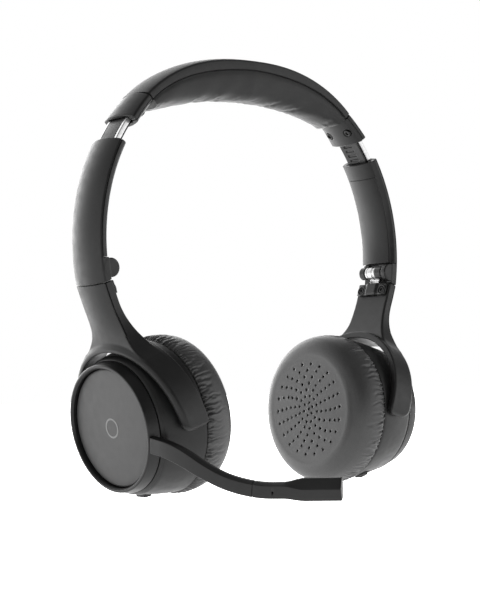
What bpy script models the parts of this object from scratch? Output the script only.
"""Office headset: sprung headband with two folding, sliding arms, two tilting on-ear cups and a microphone boom.

Row frame: +X towards the wearer's left ear, +Z up, -Y forwards. The origin is the middle of the head pad's underside.
The headband's arc is drawn around one centre, ARC_CENTRE below the origin; every length in this file is in millimetres.
"""

import math

import bmesh
import bpy
from mathutils import Matrix, Vector

for old in list(bpy.data.objects):
    bpy.data.objects.remove(old, do_unlink=True)

# ---------------------------------------------------------------- driving dimensions, mm
MM = 0.001
ARC_CENTRE = 68.5  # the pad's underside at the crown, above the arc's centre
R_EDGE_OUT = 87.9  # outer edge of arms and caps, from the arc's centre
R_CROWN_OUT = 89.8
R_EDGE_IN = 83.8
R_CROWN_IN = 82.0
R_PARTING = 85.35  # parting line of the caps
ARM_PARTING = 86.8  # parting line of arm shell and inner cover
CAP_FROM, CAP_TO = 42.8, 52.0  # degrees from the crown
ARM_FROM = 59.7
STRIP_TO = 78.0
STRIP_HALF_WIDTH = 6.7
STRIP_IN, STRIP_OUT = 85.55, 87.7
GAP = 0.3

FORK_TILT = 21.5  # lean of the fork's plane
CUP_AT = (62.2, -74.85)  # point that both cup axes pass, X and Z from the arc's centre
PIVOT = (62.9, -72.5)  # the cup's tilt axis
CUP_TILT = {-1: 9.4, 1: 2.25}  # rest tilt of the left-hand (-X) and right-hand (+X) cup
LIP_AT = 17.0  # from that point out to the lip's plane
HOOP_IN, HOOP_OUT = 33.4, 36.4
SPLIT_W = 62.7  # height of arm and fork's split above CUP_AT, along the fork's lean
HINGE = (81.4, -10.2)  # fold hinge's axis
RHO_FRONT, RHO_BACK = 30.0, 13.0  # fillets of the fork's neck into its hoop

SEG = 36  # sides of a turned ring


# ---------------------------------------------------------------- materials
def material(name, colour, rough, metal=0.0):
    m = bpy.data.materials.new(name)
    m.use_nodes = True
    b = m.node_tree.nodes["Principled BSDF"]
    b.inputs["Base Color"].default_value = (*colour, 1)
    b.inputs["Roughness"].default_value = rough
    b.inputs["Metallic"].default_value = metal
    return m


SHELL = material("shell_plastic", (0.035, 0.035, 0.037), 0.55)
DARK = material("dark_plastic", (0.012, 0.012, 0.013), 0.5)
LEATHER = material("leatherette", (0.02, 0.02, 0.021), 0.6)
DISC = material("disc_plastic", (0.12, 0.12, 0.122), 0.6)
STEEL = material("steel", (0.6, 0.6, 0.61), 0.25, 1.0)
BLACK_STEEL = material("black_steel", (0.05, 0.05, 0.052), 0.4, 0.8)
BOARD = material("circuit_board", (0.02, 0.09, 0.05), 0.5)
CELL = material("battery_wrap", (0.25, 0.26, 0.28), 0.4)


# ---------------------------------------------------------------- frames
def at(x, y, z):
    """A point given from the arc's centre, in the row frame, in metres."""
    return Vector((x * MM, y * MM, (z - ARC_CENTRE) * MM))


def polar(side, phi, r, y):
    """A point at phi degrees from the crown and radius r, on the side -1 or +1."""
    a = math.radians(phi)
    return at(side * r * math.sin(a), y, r * math.cos(a))


def fork_point(side, u, v, w):
    """A point in the fork's leaning frame: u outwards along its hoop's axis, v along +Y, w up."""
    a = math.radians(FORK_TILT)
    x = CUP_AT[0] + u * math.cos(a) + w * math.sin(a)
    z = CUP_AT[1] - u * math.sin(a) + w * math.cos(a)
    return at(side * x, v, z)


def cup_point(side, s, a, b):
    """A point in a cup's frame: s inwards from the lip's plane, a forwards (-Y) and b up."""
    t = math.radians(CUP_TILT[side])
    out = LIP_AT - s
    x = CUP_AT[0] + out * math.cos(t) + b * math.sin(t)
    z = CUP_AT[1] - out * math.sin(t) + b * math.cos(t)
    return at(side * x, -a, z)


# ---------------------------------------------------------------- mesh helpers
def finish(name, verts, faces, mat, smooth=True):
    mesh = bpy.data.meshes.new(name)
    mesh.from_pydata([tuple(v) for v in verts], [], faces)
    bm = bmesh.new()
    bm.from_mesh(mesh)
    bmesh.ops.recalc_face_normals(bm, faces=bm.faces)
    bm.to_mesh(mesh)
    bm.free()
    obj = bpy.data.objects.new(name, mesh)
    bpy.context.scene.collection.objects.link(obj)
    mesh.materials.append(mat)
    if smooth:
        mesh.shade_smooth()
        mesh.set_sharp_from_angle(angle=math.radians(32))
    return obj


def loft(name, rings, mat):
    """A closed body through rings that all have the same number of points, with a flat cap at each end."""
    n = len(rings[0])
    verts = [p for ring in rings for p in ring]
    faces = [
        (k * n + i, k * n + (i + 1) % n, (k + 1) * n + (i + 1) % n, (k + 1) * n + i)
        for k in range(len(rings) - 1)
        for i in range(n)
    ]
    faces.append(tuple(range(n)))
    faces.append(tuple(range((len(rings) - 1) * n, len(rings) * n)))
    return finish(name, verts, faces, mat)


def turned(name, place, profile, mat, seg=SEG):
    """A body turned around an axis. profile is a closed line of (s, r), and place(s, a, b) gives the point."""
    verts, rows = [], []
    for s, r in profile:
        if r < 1e-6:
            rows.append([len(verts)] * seg)
            verts.append(place(s, 0, 0))
        else:
            rows.append(list(range(len(verts), len(verts) + seg)))
            for k in range(seg):
                t = 2 * math.pi * k / seg
                verts.append(place(s, r * math.cos(t), r * math.sin(t)))
    faces = []
    count = len(profile)
    for j in range(count):
        top, low = rows[j], rows[(j + 1) % count]
        if top[0] == top[1] and low[0] == low[1]:
            continue
        for k in range(seg):
            m = (k + 1) % seg
            face = [top[k], top[m], low[m], low[k]]
            kept = [v for i, v in enumerate(face) if v != face[i - 1]]
            faces.append(tuple(kept))
    return finish(name, verts, faces, mat)


def box(name, place, low, high, mat):
    """A box between two corners given in a frame that place() maps."""
    c = [
        place(x, y, z)
        for x in (low[0], high[0])
        for y in (low[1], high[1])
        for z in (low[2], high[2])
    ]
    quads = [(0, 1, 3, 2), (4, 6, 7, 5), (0, 4, 5, 1), (2, 3, 7, 6), (0, 2, 6, 4), (1, 5, 7, 3)]
    return finish(name, c, quads, mat, smooth=False)


def rod(name, start, end, radius, mat, seg=14, rings=None):
    """A round bar from start to end, both in the row frame in metres. rings gives (share, radius) steps."""
    axis = (end - start).normalized()
    side = axis.orthogonal().normalized()
    other = axis.cross(side)
    steps = rings or [(0, radius), (1, radius)]
    sections = []
    for share, r in steps:
        c = start.lerp(end, share)
        sections.append(
            [
                c + (side * math.cos(2 * math.pi * k / seg) + other * math.sin(2 * math.pi * k / seg)) * r * MM
                for k in range(seg)
            ]
        )
    return loft(name, sections, mat)


def boolean(obj, other, operation="DIFFERENCE"):
    m = obj.modifiers.new(other.name, "BOOLEAN")
    m.operation = operation
    m.solver = "EXACT"
    m.object = other
    other.hide_render = True
    other.display_type = "WIRE"
    return obj


def smooth_step(t):
    t = min(1.0, max(0.0, t))
    return t * t * (3 - 2 * t)


# ---------------------------------------------------------------- headband
BAND_TO = CAP_FROM - 0.25


def band_share(phi):
    return min(1.0, abs(phi) / BAND_TO)


def band_top(phi):
    """Outer edge of the band: a little flatter than the arms' circle over the crown."""
    return 83.6 + (R_EDGE_OUT - 83.6) * smooth_step(band_share(phi)) ** 0.9


def band_seam(phi):
    return 79.4 + (R_PARTING - 0.9 - 79.4) * smooth_step(band_share(phi)) ** 1.3


def band_pad(phi):
    t = band_share(phi)
    return ARC_CENTRE + (80.4 - ARC_CENTRE) * (0.1 * t + 0.9 * t**2.2)


def band_half_width(phi):
    return 10.9 - 1.2 * band_share(phi)


def arc_steps(low, high, count):
    return [low + (high - low) * k / (count - 1) for k in range(count)]


def headband():
    steps = arc_steps(-BAND_TO, BAND_TO, 27)
    rings = []
    for phi in steps:
        top, seam, h = band_top(phi), band_seam(phi), band_half_width(phi)
        low = seam + 0.15
        rings.append(
            [
                polar(1, phi, r, y)
                for r, y in (
                    (low, -h),
                    (top - 0.9, -h),
                    (top, -h + 0.9),
                    (top + 1.1, -h * 0.5),
                    (top + 1.5, 0),
                    (top + 1.1, h * 0.5),
                    (top, h - 0.9),
                    (top - 0.9, h),
                    (low, h),
                    (low, 0.62 * h),
                    (low + 0.0, -0.62 * h),
                )
            ]
        )
    cover = loft("headband_top_cover", rings, SHELL)

    rings = []
    for phi in steps:
        seam, low, h = band_seam(phi) - 0.15, band_pad(phi), band_half_width(phi)
        d = seam - low
        rings.append(
            [
                polar(1, phi, r, y)
                for r, y in (
                    (seam, h - 0.2),
                    (seam - 0.35 * d, h + 0.1),
                    (seam - 0.78 * d, h - 0.6),
                    (seam - 0.96 * d, h - 2.6),
                    (low, h * 0.4),
                    (low, -h * 0.4),
                    (seam - 0.96 * d, -h + 2.6),
                    (seam - 0.78 * d, -h + 0.6),
                    (seam - 0.35 * d, -h - 0.1),
                    (seam, -h + 0.2),
                )
            ]
        )
    pad = loft("head_pad", rings, LEATHER)

    # The spring band runs inside the cover's lower side and comes out of both caps as the sliders' strips.
    def spring_radius(phi):
        a = abs(phi)
        if a >= CAP_FROM - 4:
            return STRIP_IN
        t = a / (CAP_FROM - 4)
        return 80.6 + (STRIP_IN - 80.6) * smooth_step(t)

    def strip_rings(inner, outer, half, count):
        return [
            [
                polar(1, phi, r + spring_radius(phi) - STRIP_IN, y)
                for r, y in ((inner, -half), (outer, -half), (outer, half), (inner, half))
            ]
            for phi in arc_steps(-STRIP_TO, STRIP_TO, count)
        ]

    spring = loft("spring_band", strip_rings(STRIP_IN, STRIP_OUT, STRIP_HALF_WIDTH, 53), BLACK_STEEL)
    tunnel = loft(
        "cut_spring_tunnel",
        strip_rings(STRIP_IN - GAP, STRIP_OUT + GAP, STRIP_HALF_WIDTH + GAP, 53),
        SHELL,
    )
    boolean(cover, tunnel)
    return {"root": [cover, pad, spring]}


def bow(r_edge, r_crown, half, sign):
    """Points across a bowed face from -half to +half, or back if sign is -1."""
    ys = [-1.0, -0.9, -0.5, 0.0, 0.5, 0.9, 1.0]
    out = []
    for t in ys:
        drop = {1.0: 0.9, 0.9: 0.0}.get(abs(t), None)
        r = r_edge + (r_crown - r_edge) * (1 - (abs(t) / 0.9) ** 2) if drop != 0.9 else r_edge - math.copysign(0.8, r_crown - r_edge)
        out.append((r, t * half))
    return out if sign > 0 else out[::-1]


def outer_section(half, parting=R_PARTING):
    """Outer half shell: bowed outside, slot for the strip inside, open towards the arc's centre."""
    top = bow(R_EDGE_OUT, R_CROWN_OUT, half, 1)
    k = STRIP_HALF_WIDTH + GAP + 0.05
    return (
        [(parting + 0.15, -half)]
        + top
        + [(parting + 0.15, half), (parting + 0.15, k), (STRIP_OUT + GAP, k), (STRIP_OUT + GAP, -k), (parting + 0.15, -k)]
    )


RACK_IN, RACK_OUT = 84.5, 85.25


def inner_section(half, parting=R_PARTING):
    low = bow(R_EDGE_IN, R_CROWN_IN, half - 0.15, 1)
    k = STRIP_HALF_WIDTH + GAP + 0.05
    floor = RACK_IN - GAP
    return (
        [(parting - 0.15, -half + 0.15)]
        + low
        + [(parting - 0.15, half - 0.15), (parting - 0.15, k), (floor, k), (floor, -k), (parting - 0.15, -k)]
    )


def caps_and_racks(side, word):
    def half(phi):
        return 9.75 + (10.7 - 9.75) * (phi - CAP_FROM) / (CAP_TO - CAP_FROM)

    steps = arc_steps(CAP_FROM, CAP_TO, 5)
    outer = loft(
        f"cap_outer_{word}",
        [[polar(side, phi, r, y) for r, y in outer_section(half(phi))] for phi in steps],
        SHELL,
    )
    inner = loft(
        f"cap_inner_{word}",
        [[polar(side, phi, r, y) for r, y in inner_section(half(phi))] for phi in steps],
        DARK,
    )
    made = [outer, inner]
    for place, y in (("front", -6.0), ("back", 6.0)):
        phi = 47.6
        a = polar(side, phi, R_CROWN_IN - 1.5, y)
        b = polar(side, phi, R_CROWN_IN + 1.75, y)
        hole = rod(f"cut_cap_screw_{place}_{word}", a, b, 2.1, DARK, seg=12)
        boolean(inner, hole)
        made.append(
            rod(
                f"cap_screw_{place}_{word}",
                polar(side, phi, R_CROWN_IN + 0.55, y),
                polar(side, phi, R_CROWN_IN + 1.45, y),
                1.75,
                BLACK_STEEL,
                seg=12,
            )
        )
    rack = loft(
        f"slider_rack_{word}",
        [
            [polar(side, phi, r, y) for r, y in ((RACK_IN, -5.9), (RACK_OUT, -5.9), (RACK_OUT, 5.9), (RACK_IN, 5.9))]
            for phi in arc_steps(CAP_FROM + 1, STRIP_TO - 0.6, 9)
        ],
        DARK,
    )
    pitch = math.degrees(2.55 / RACK_IN)
    first = CAP_TO + 0.9
    bars = []
    for k in range(8):
        phi = first + k * pitch
        bars.append(
            loft(
                f"cut_rack_{k}_{word}",
                [
                    [polar(side, phi + d, r, y) for r, y in ((RACK_IN - 1, -2.2), (RACK_IN + 0.42, -2.2), (RACK_IN + 0.42, 3.4), (RACK_IN - 1, 3.4))]
                    for d in (0, pitch * 0.45)
                ],
                DARK,
            )
        )
    for bar in bars:
        boolean(rack, bar)
    made.append(rack)
    return made


# ---------------------------------------------------------------- arms
def split_phi(r, w, start=100.0):
    """Where a line of radius r meets the slanting split plane at height w in the fork's frame."""
    a = math.radians(FORK_TILT)
    phi = math.radians(start)
    for _ in range(20):
        f = (r * math.sin(phi) - CUP_AT[0]) * math.sin(a) + (r * math.cos(phi) - CUP_AT[1]) * math.cos(a) - w
        d = r * math.cos(phi) * math.sin(a) - r * math.sin(phi) * math.cos(a)
        phi -= f / d
    return math.degrees(phi)


def hinge_point(side, y, dx=0.0, dz=0.0):
    return at(side * (HINGE[0] + dx), y, HINGE[1] + dz)


def arm(side, word):
    section = outer_section(10.7, ARM_PARTING)
    steps = arc_steps(ARM_FROM, 97.0, 11)
    rings = [[polar(side, phi, r, y) for r, y in section] for phi in steps]
    rings.append([polar(side, split_phi(r, SPLIT_W + 0.5), r, y) for r, y in section])
    shell = loft(f"arm_shell_{word}", rings, SHELL)
    cheek = rod(f"join_cheek_{word}", hinge_point(side, -10.55, 0.9), hinge_point(side, -7.7, 0.9), 4.1, SHELL, seg=24)
    boolean(shell, cheek, "UNION")
    flange = [(83.9, -10.65), (87.3, -10.65), (87.3, -7.7), (83.9, -7.7)]
    rings = [[polar(side, phi, r, y) for r, y in flange] for phi in (94.45, 96.5, 98.5)]
    rings.append([polar(side, split_phi(r, SPLIT_W + 0.5), r, y) for r, y in flange])
    boolean(shell, loft(f"join_flange_{word}", rings, SHELL), "UNION")

    section = inner_section(10.7, ARM_PARTING)
    rings = [[polar(side, phi, r, y) for r, y in section] for phi in arc_steps(ARM_FROM, 93.9, 10)]
    cover = loft(f"arm_inner_cover_{word}", rings, DARK)
    boolean(cover, rod(f"cut_cheek_{word}", hinge_point(side, -11.2, 0.9), hinge_point(side, -7.3, 0.9), 4.5, DARK, seg=24))

    tongue = loft(
        f"hinge_bracket_{word}",
        [
            [polar(side, phi, r, y) for r, y in ((84.6, -6.0), (86.9, -6.0), (86.9, 6.0), (84.6, 6.0))]
            for phi in (86.5, 91.0, 94.8)
        ],
        DARK,
    )
    neck = loft(
        f"join_bracket_neck_{word}",
        [
            [polar(side, phi, r, y) for r, y in ((83.4, -6.8), (85.4, -6.8), (85.4, 6.6), (83.4, 6.6))]
            for phi in (94.3, 94.95)
        ],
        DARK,
    )
    boolean(tongue, neck, "UNION")
    for k, (a, b) in enumerate(((-7.25, -3.5), (3.4, 6.8))):
        boolean(tongue, rod(f"join_knuckle_{k}_{word}", hinge_point(side, a), hinge_point(side, b), 3.1, DARK, seg=20), "UNION")
        boolean(
            tongue,
            loft(
                f"join_web_{k}_{word}",
                [
                    [at(side * x, y, z) for x, y in ((81.9, a), (84.6, a), (84.6, b), (81.9, b))]
                    for z in (-6.3, -9.2)
                ],
                DARK,
            ),
            "UNION",
        )
    boolean(tongue, rod(f"cut_hinge_bore_{word}", hinge_point(side, -8.5), hinge_point(side, 8.5), 1.62, DARK, seg=16))
    pin = rod(f"hinge_pin_{word}", hinge_point(side, -7.15), hinge_point(side, 6.7), 1.3, STEEL, seg=16)
    return [shell, cover, tongue, pin]


# ---------------------------------------------------------------- forks
def neck_half(w, rho):
    """Half width of the fork's neck at height w: straight, then a fillet of rho into the hoop, then just under the hoop."""
    centre_v = 10.4 + rho
    centre_w = math.sqrt((HOOP_OUT + rho) ** 2 - centre_v**2)
    if w >= centre_w:
        return 10.4
    if w <= centre_w * HOOP_OUT / (HOOP_OUT + rho):
        return math.sqrt((HOOP_OUT - 0.4) ** 2 - w**2)
    return centre_v - math.sqrt(max(0.0, rho**2 - (centre_w - w) ** 2))


def fork(side, word):
    rings = []
    for w, inner, outer, crown in (
        (SPLIT_W, -3.3, 0.9, 1.8),
        (57.0, -3.2, 1.1, 1.8),
        (52.0, -3.1, 1.1, 1.7),
        (47.0, -3.4, 1.0, 1.6),
        (42.5, -4.0, 1.2, 1.4),
        (39.0, -4.6, 1.8, 1.2),
        (36.6, -5.2, 2.6, 1.0),
        (34.2, -5.8, 3.4, 0.7),
        (31.6, -6.2, 4.0, 0.4),
        (29.2, -6.4, 4.2, 0.2),
    ):
        h, b = neck_half(w, RHO_FRONT), neck_half(w, RHO_BACK)
        rings.append(
            [
                fork_point(side, u, v, w)
                for u, v in (
                    (inner, -h + 0.9),
                    (inner + 0.9, -h),
                    (outer - 0.7, -h),
                    (outer, -h + 0.8),
                    (outer + crown * 0.75, -h * 0.5),
                    (outer + crown, 0),
                    (outer + crown * 0.75, b * 0.5),
                    (outer, b - 0.8),
                    (outer - 0.7, b),
                    (inner + 0.9, b),
                    (inner, b - 0.9),
                )
            ]
        )
    body = loft(f"yoke_fork_{word}", rings, SHELL)
    boolean(body, rod(f"cut_under_hoop_{word}", fork_point(side, -14, 0, 0), fork_point(side, 14, 0, 0), HOOP_IN + 1.1, SHELL, seg=56))

    rings = []
    for beta in arc_steps(-5.6, 185.6, 27):
        b = math.radians(beta)
        k = math.sin(b) ** 2
        u0, u1 = -8.2 + 0.4 * k, 4.7 + 0.6 * k
        rings.append(
            [
                fork_point(side, u, -r * math.cos(b), r * math.sin(b))
                for u, r in (
                    (u0, HOOP_IN + 0.2),
                    (u0 + 1.5, HOOP_IN),
                    (u1 - 0.4, HOOP_IN),
                    (u1, HOOP_IN + 0.5),
                    (u1 - 0.2, HOOP_OUT - 1.5),
                    (u1 - 1.7, HOOP_OUT),
                    (u0 + 0.7, HOOP_OUT),
                    (u0, HOOP_OUT - 0.7),
                )
            ]
        )
    boolean(body, loft(f"join_hoop_{word}", rings, SHELL), "UNION")

    def local(u, v, w):
        return fork_point(side, u, v, w)

    boolean(body, box(f"cut_leaf_{word}", local, (-6, -3.5, 56.8), (-2.1, 3.5, 64), SHELL))
    for k in (-1, 1):
        boolean(
            body,
            rod(f"cut_pivot_{'fb'[k > 0]}_{word}", at(side * PIVOT[0], k * 32.5, PIVOT[1]), at(side * PIVOT[0], k * 35.6, PIVOT[1]), 1.8, SHELL, seg=14),
        )
        boolean(
            body,
            rod(f"cut_plate_screw_{'fb'[k > 0]}_{word}", fork_point(side, -3.9, k * 6.7, 58.9), fork_point(side, -0.9, k * 6.7, 58.9), 0.95, SHELL, seg=10),
        )

    leaf = rod(f"hinge_leaf_{word}", hinge_point(side, -3.15), hinge_point(side, 3.05), 3.0, STEEL, seg=24)
    boolean(leaf, box(f"join_leaf_{word}", local, (-3.9, -3.05, 57.4), (-2.45, 3.0, 67.2), STEEL), "UNION")
    boolean(leaf, rod(f"cut_leaf_bore_{word}", hinge_point(side, -5), hinge_point(side, 5), 1.62, STEEL, seg=16))

    # Cover plate: flat wings under the two screws, and a raised middle over the hinge's leaf.
    plate_rings = []
    for w in (56.5, 57.3, 61.6, 62.3):
        edge = 0.45 if w in (56.5, 62.3) else 0.0
        plate_rings.append(
            [
                fork_point(side, u, v, w)
                for u, v in (
                    (-3.65, -9.3),
                    (-4.5 + edge, -9.3 + edge),
                    (-4.5 + edge, -4.6),
                    (-5.5 + edge, -3.6),
                    (-5.5 + edge, 3.6),
                    (-4.5 + edge, 4.6),
                    (-4.5 + edge, 9.3 - edge),
                    (-3.65, 9.3),
                    (-3.65, 3.9),
                    (-4.25, 3.4),
                    (-4.25, -3.4),
                    (-3.65, -3.9),
                )
            ]
        )
    plate = loft(f"yoke_cover_plate_{word}", plate_rings, DARK)
    made = [body, leaf, plate]
    for k, place in ((-1, "front"), (1, "back")):
        boolean(
            plate,
            rod(f"cut_plate_{place}_{word}", fork_point(side, -6, k * 6.7, 58.9), fork_point(side, -3, k * 6.7, 58.9), 1.85, DARK, seg=12),
        )
        made.append(
            rod(
                f"yoke_screw_{place}_{word}",
                fork_point(side, -4.55, k * 6.7, 58.9),
                fork_point(side, -1.4, k * 6.7, 58.9),
                1.5,
                BLACK_STEEL,
                seg=12,
                rings=[(0, 1.3), (0.07, 1.5), (0.2, 1.5), (0.21, 0.62), (1, 0.6)],
            )
        )
        made.append(
            rod(
                f"pivot_pin_{place}_{word}",
                at(side * PIVOT[0], k * 35.3, PIVOT[1]),
                at(side * PIVOT[0], k * 28.8, PIVOT[1]),
                1.5,
                STEEL,
                seg=14,
            )
        )
    return made


# ---------------------------------------------------------------- ear cups
def housing_radius(s):
    """Outer radius of the cup's housing at depth s."""
    t = (s - 6.9) / (26.6 - 6.9)
    return 29.6 + (33.2 - 29.6) * (1 - (1 - t) ** 1.5)


def cup(side, word):
    def place(s, a, b):
        return cup_point(side, s, a, b)

    depths = (7.5, 11.0, 15.0, 20.0, 26.6)
    outside = [(6.9, 29.1)] + [(s, housing_radius(s)) for s in depths]
    inside = [(26.6, 31.4), (20.0, 30.2), (12.0, 28.4), (8.9, 27.2)]
    housing = turned(f"cup_housing_{word}", place, [(6.9, 0)] + outside + inside + [(8.9, 0)], SHELL)
    for k in (-1, 1):
        boolean(
            housing,
            rod(f"cut_cup_pivot_{'fb'[k > 0]}_{word}", at(side * PIVOT[0], k * 28.0, PIVOT[1]), at(side * PIVOT[0], k * 34.0, PIVOT[1]), 1.8, SHELL, seg=14),
        )
    baffle = turned(
        f"speaker_baffle_{word}",
        place,
        [(24.9, 13.0), (24.9, 30.6), (26.5, 30.6), (26.5, 13.0)],
        DARK,
        seg=28,
    )
    driver = turned(
        f"speaker_driver_{word}",
        place,
        [(16.5, 0), (16.5, 8.5), (19.0, 9.0), (19.6, 14.0), (24.5, 15.8), (24.5, 0)],
        BLACK_STEEL,
        seg=24,
    )
    cushion = turned(
        f"ear_cushion_{word}",
        place,
        [
            (27.0, 0),
            (27.0, 33.5),
            (28.0, 34.1),
            (31.0, 34.5),
            (35.0, 34.2),
            (38.5, 33.0),
            (41.2, 30.9),
            (43.0, 28.0),
            (43.7, 24.6),
            (43.5, 22.5),
            (43.5, 0),
        ],
        LEATHER,
        seg=36,
    )
    made = [housing, baffle, driver, cushion]
    disc = turned(
        f"disc_cover_{word}",
        place,
        [(2.0, 0), (2.0, 25.05), (2.2, 25.3), (4.0, 25.3), (4.0, 0)],
        DISC,
        seg=SEG,
    )
    made.append(disc)
    return made


def bezel_profile():
    return [(0.0, 26.3), (0.0, 27.0), (0.3, 27.3), (4.9, 28.45), (5.3, 28.3), (5.3, 25.65), (0.9, 25.6)]


def wall_box(name, side, s0, s1, angle, half, r0, r1, mat):
    """A block on the cup's wall, from depth s0 to s1, centred at angle (0 front, 90 up, 180 back)."""
    t = math.radians(angle)
    c, s = math.cos(t), math.sin(t)

    def local(x, y, z):
        return cup_point(side, x, z * c - y * s, z * s + y * c)

    return box(name, local, (s0, -half, r0), (s1, half, r1), mat)


def bevelled(obj, width, segments=2):
    m = obj.modifiers.new("rounded", "BEVEL")
    m.width = width * MM
    m.segments = segments
    m.limit_method = "ANGLE"
    return obj


CONTROL_S = (18.5, 22.5)


def left_controls(housing):
    made = []
    for name, angle, half, proud, mid in (("volume_rocker", 216.0, 6.5, 0.75, 20.5), ("call_button", 268.0, 3.2, 0.9, 13.5)):
        r = housing_radius(mid)
        s0, s1 = mid - 2.0, mid + 2.0
        boolean(housing, wall_box(f"cut_{name}", -1, s0 - GAP, s1 + GAP, angle, half + GAP, r - 4, r + 3, SHELL))
        made.append(bevelled(wall_box(name, -1, s0, s1, angle, half, r - 1.9, r + proud, DARK), 0.4))
    return made


def right_controls(housing):
    r = housing_radius(20.5)
    s0, s1 = CONTROL_S
    boolean(housing, wall_box("cut_power_switch", 1, s0 - GAP, s1 + GAP, 290.0, 4.4, r - 4, r + 3, SHELL))
    switch = bevelled(wall_box("power_switch", 1, s0, s1, 290.0, 2.6, r - 1.9, r + 0.9, DARK), 0.4)
    boolean(housing, wall_box("cut_usb_port", 1, 17.9, 21.7, 258.0, 4.9, r - 6, r + 3, SHELL))
    port = wall_box("usb_c_port", 1, 18.2, 21.4, 258.0, 4.55, r - 5.4, r - 0.3, STEEL)
    boolean(port, wall_box("cut_port_mouth", 1, 18.6, 21.0, 258.0, 4.15, r - 4.6, r + 1, STEEL))
    return [switch, port]


# ---------------------------------------------------------------- microphone boom
BOOM_POINTS = (  # centre line from the ring to the tip, from the arc's centre
    (-76.6, -28.6, -84.9),
    (-75.6, -36.0, -86.6),
    (-73.4, -43.8, -89.8),
    (-70.0, -52.0, -94.3),
    (-65.0, -61.5, -99.0),
    (-58.6, -71.5, -101.8),
    (-51.6, -81.8, -102.2),
    (-45.2, -91.2, -102.2),
    (-39.9, -99.1, -102.2),
)


def spline(points, t):
    """A smooth curve through the points, t from 0 to 1."""
    n = len(points) - 1
    x = min(max(t, 0.0), 1.0) * n
    i = min(int(x), n - 1)
    f = x - i
    p = [Vector(points[min(max(j, 0), n)]) for j in range(i - 1, i + 3)]
    if i == 0:
        p[0] = 2 * p[1] - p[2]
    if i == n - 1:
        p[3] = 2 * p[2] - p[1]
    return 0.5 * (
        2 * p[1] + (p[2] - p[0]) * f + (2 * p[0] - 5 * p[1] + 4 * p[2] - p[3]) * f * f + (3 * p[1] - p[0] - 3 * p[2] + p[3]) * f**3
    )


def boom_section(t):
    """Height above and below the bar's line, outward ridge, ridge height and inner depth at t."""
    k = smooth_step((t - 0.72) / 0.1)
    top = 3.6 + 1.0 * (1 - smooth_step((t - 0.2) / 0.27)) + 1.55 * k
    low = 2.9 + 0.4 * smooth_step(t / 0.45) + 0.95 * k
    lift = 1.9 + 1.85 * (1 - smooth_step((t - 0.12) / 0.36)) - 1.6 * k
    return top, low, 2.3 + 0.5 * t, lift, 2.1 + 0.3 * k


def boom_ring_at(t, grow=0.0):
    c = spline(BOOM_POINTS, t)
    d = (spline(BOOM_POINTS, min(1, t + 0.01)) - spline(BOOM_POINTS, max(0, t - 0.01))).normalized()
    up = (Vector((0, 0, 1)) - d * d.z).normalized()
    out = up.cross(d).normalized()
    if out.x > 0:
        out = -out
    top, low, ridge, lift, inner = boom_section(t)
    pts = (
        (-0.9, top),
        (0.5, top - 0.35),
        (ridge, lift + 0.45),
        (ridge, lift - 0.45),
        (1.2, -low + 0.3),
        (0.2, -low),
        (-inner + 0.5, -low + 1.1),
        (-inner, -low + 2.0),
        (-inner, top - 2.0),
        (-inner + 0.5, top - 0.7),
    )
    out_pts = []
    for o, k in pts:
        q = c + out * o * (1 + grow) + up * k * (1 + grow)
        out_pts.append(at(q.x, q.y, q.z))
    return out_pts


def boom():
    def place(s, a, b):
        return cup_point(-1, s, a, b)

    ring = turned("boom_ring", place, bezel_profile(), DARK)
    trim = turned(
        "trim_ring_left",
        place,
        [(4.3, 8.0), (4.3, 25.1), (5.6, 25.1), (5.6, 29.1), (5.9, 29.4), (6.6, 29.5), (6.6, 8.0)],
        SHELL,
    )
    arm_rings = [boom_ring_at(t) for t in arc_steps(0.035, 0.60, 17)]
    back = (at(*spline(BOOM_POINTS, 0.035)) - at(*spline(BOOM_POINTS, 0.06))).normalized() * (2.75 * MM)
    arm_rings.insert(0, [Vector(p) + back for p in arm_rings[0]])  # the foot against the boom ring
    bar = loft("boom_arm", arm_rings, SHELL)
    head = loft("mic_housing", [boom_ring_at(t) for t in arc_steps(0.605, 1.0, 11)], SHELL)
    t = 0.685
    c = spline(BOOM_POINTS, t)
    d = (spline(BOOM_POINTS, t + 0.01) - spline(BOOM_POINTS, t - 0.01)).normalized()
    up = (Vector((0, 0, 1)) - d * d.z).normalized()
    out = up.cross(d).normalized()
    if out.x > 0:
        out = -out
    boolean(head, rod("cut_mic", at(*(c + out * 4)), at(*(c - out * 0.9)), 1.5, SHELL, seg=14))
    capsule = rod("mic_capsule", at(*(c + out * 1.1)), at(*(c - out * 0.6)), 1.2, STEEL, seg=14)
    return ring, trim, bar, head, capsule


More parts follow.
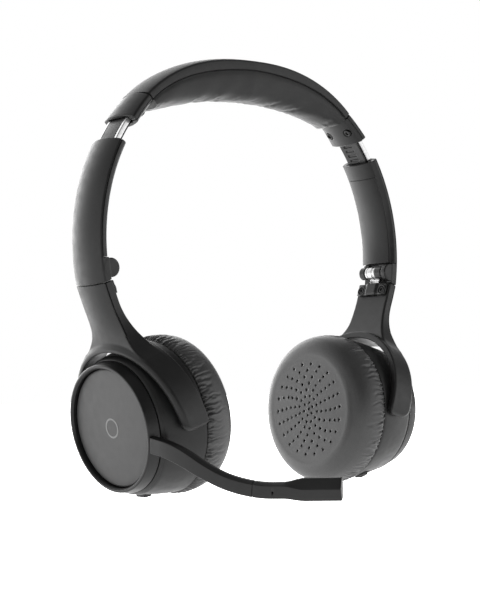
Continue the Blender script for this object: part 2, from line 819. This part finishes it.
# ---------------------------------------------------------------- assembly
def under(empty_name, where, objects, parent=None):
    """Parents the objects to an empty on their joint's axis, without moving them."""
    empty = bpy.data.objects.new(empty_name, None)
    bpy.context.scene.collection.objects.link(empty)
    empty.location = where
    empty.empty_display_size = 0.01
    bpy.context.view_layer.update()
    if parent:
        empty.parent = parent
        empty.matrix_parent_inverse = parent.matrix_world.inverted()
        bpy.context.view_layer.update()
    for obj in objects:
        obj.parent = empty
        obj.matrix_parent_inverse = empty.matrix_world.inverted()
    return empty


def main():
    made = headband()
    root = under("frame_root", at(0, 0, ARC_CENTRE), made["root"])
    arc = at(0, 0, 0)
    for side, word in ((-1, "left"), (1, "right")):
        band_pieces = caps_and_racks(side, word)
        for piece in band_pieces:
            piece.parent = root
            piece.matrix_parent_inverse = root.matrix_world.inverted()
        slide = under(f"slide_{word}", arc, arm(side, word), root)
        fold = under(f"fold_{word}", hinge_point(side, 0), fork(side, word), slide)
        pieces = cup(side, word)
        tilt = under(f"tilt_{word}", at(side * PIVOT[0], 0, PIVOT[1]), pieces, fold)
        if side < 0:
            ring, trim, bar, head, capsule = boom()
            under("boom_turn", cup_point(-1, 2.5, 0, 0), [ring, bar, head, capsule], tilt)
            extra = [trim] + left_controls(pieces[0])
            board = box("circuit_board", lambda x, y, z: cup_point(-1, x, y, z), (10.0, -15, -11), (11.4, 15, 11), BOARD)
            extra.append(board)
        else:
            trim = turned(
                "trim_ring_right",
                lambda s, a, b: cup_point(1, s, a, b),
                [(0.0, 26.3), (0.0, 27.0), (0.3, 27.3), (5.2, 28.6), (5.6, 29.1), (6.6, 29.5), (6.6, 8.0), (4.3, 8.0), (4.3, 25.6), (0.9, 25.6)],
                DARK,
            )
            cell = box("battery", lambda x, y, z: cup_point(1, x, y, z), (9.4, -13, -10), (14.6, 13, 10), CELL)
            extra = [trim, cell] + right_controls(pieces[0])
        for piece in extra:
            piece.parent = tilt
            piece.matrix_parent_inverse = tilt.matrix_world.inverted()


main()
